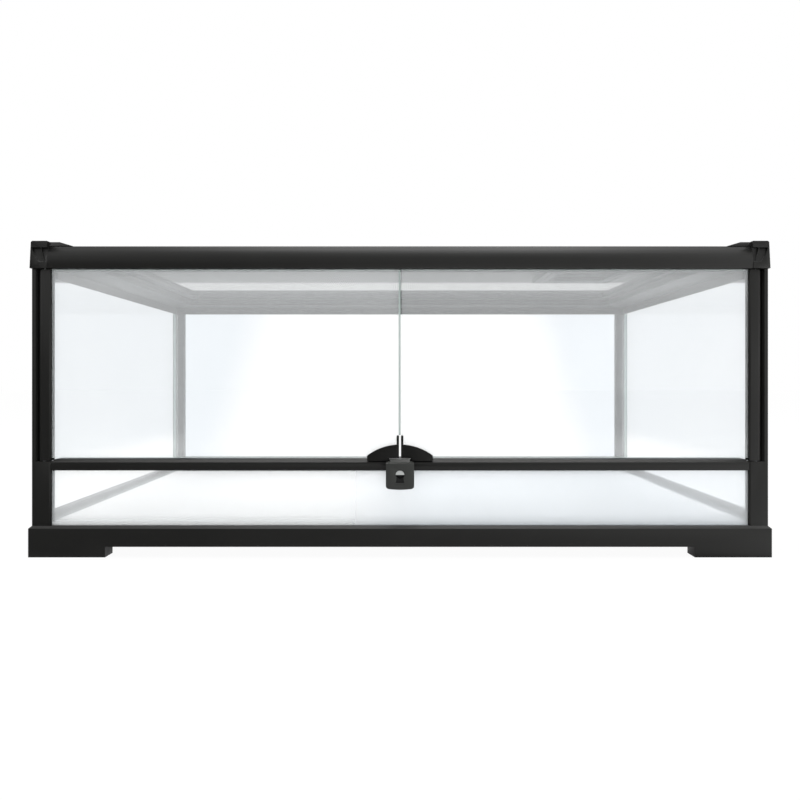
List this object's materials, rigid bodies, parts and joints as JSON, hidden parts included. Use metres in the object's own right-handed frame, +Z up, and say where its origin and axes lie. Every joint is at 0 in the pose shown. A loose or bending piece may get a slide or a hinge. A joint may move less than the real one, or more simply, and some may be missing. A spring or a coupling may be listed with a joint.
{
  "type": "reptile terrarium",
  "caption": "Front-opening glass reptile terrarium with a screen lid, a feeding hatch, hinged doors and a quarter-turn lock on a raised base.",
  "frame": {"origin": "centre of the base's outline, at the level that the feet stand on", "axes": "+X to the right along the front, +Y from the doors to the back, +Z up"},
  "size_m": [0.914, 0.4655, 0.3902],
  "materials": {
    "black_plastic": "satin moulded",
    "foot_rubber": "matt",
    "glass": "clear float glass",
    "sealant": "smooth",
    "steel": "zinc plated",
    "nylon": "satin",
    "wire_mesh": "coated woven wire",
    "clear_seal": "clear flexible vinyl"
  },
  "bodies": {
    "tank": {"base_frame": "black_plastic", "foot_pads": "foot_rubber", "floor_glass": "glass", "front_glass": "glass", "left_glass": "glass", "right_glass": "glass", "rear_glass": "glass", "floor_sealant": "sealant", "corner_sealant": "sealant", "left_front_post": "black_plastic", "right_front_post": "black_plastic", "left_rear_post": "black_plastic", "right_rear_post": "black_plastic", "post_screws": "steel", "door_rail": "black_plastic", "top_front_rail": "black_plastic", "top_rear_rail": "black_plastic", "top_left_rail": "black_plastic", "top_right_rail": "black_plastic", "front_left_corner": "black_plastic", "front_right_corner": "black_plastic", "rear_left_corner": "black_plastic", "rear_right_corner": "black_plastic", "lock_housing": "black_plastic", "lock_plate": "steel", "lock_screws": "steel"},
    "left_door": {"left_door_glass": "glass", "left_stile": "black_plastic", "left_hinge_pins": "steel", "left_handle": "black_plastic", "door_seal": "clear_seal"},
    "right_door": {"right_door_glass": "glass", "right_stile": "black_plastic", "right_hinge_pins": "steel", "right_handle": "black_plastic"},
    "lid": {"lid_frame": "black_plastic", "lid_mesh": "wire_mesh", "lid_spline": "sealant"},
    "hatch": {"hatch_frame": "black_plastic", "hatch_mesh": "wire_mesh", "hatch_spline": "sealant", "hatch_pins": "steel"},
    "lock_turner": {"lock_core": "steel", "lock_cam": "nylon"},
    "lock_slider": {"lock_bolt": "steel"}
  },
  "joints": [
    {"name": "left_door_hinge", "type": "hinge", "parent": "tank", "child": "left_door", "pos_m": [-0.4415, -0.22, 0.2365], "axis": [0, 0, -1], "range_deg": [0, 110]},
    {"name": "right_door_hinge", "type": "hinge", "parent": "tank", "child": "right_door", "pos_m": [0.4415, -0.22, 0.2365], "axis": [0, 0, 1], "range_deg": [0, 110]},
    {"name": "lid_lift", "type": "slide", "parent": "tank", "child": "lid", "axis": [0, 0, 1], "range_m": [0, 0.06]},
    {"name": "hatch_hinge", "type": "hinge", "parent": "lid", "child": "hatch", "pos_m": [0.2205, -0.096, 0.3823], "axis": [0, -1, 0], "range_deg": [0, 95]},
    {"name": "lock_turn", "type": "hinge", "parent": "tank", "child": "lock_turner", "pos_m": [0, -0.232, 0.1032], "axis": [0, 1, 0], "range_deg": [0, 90]},
    {"name": "bolt_slide", "type": "slide", "parent": "tank", "child": "lock_slider", "axis": [0, 0, 1], "range_m": [0, 0.005]}
  ],
  "couplings": [
    {"joint": "lock_turn", "follows": "bolt_slide", "rad_per_m": 314.16}
  ]
}
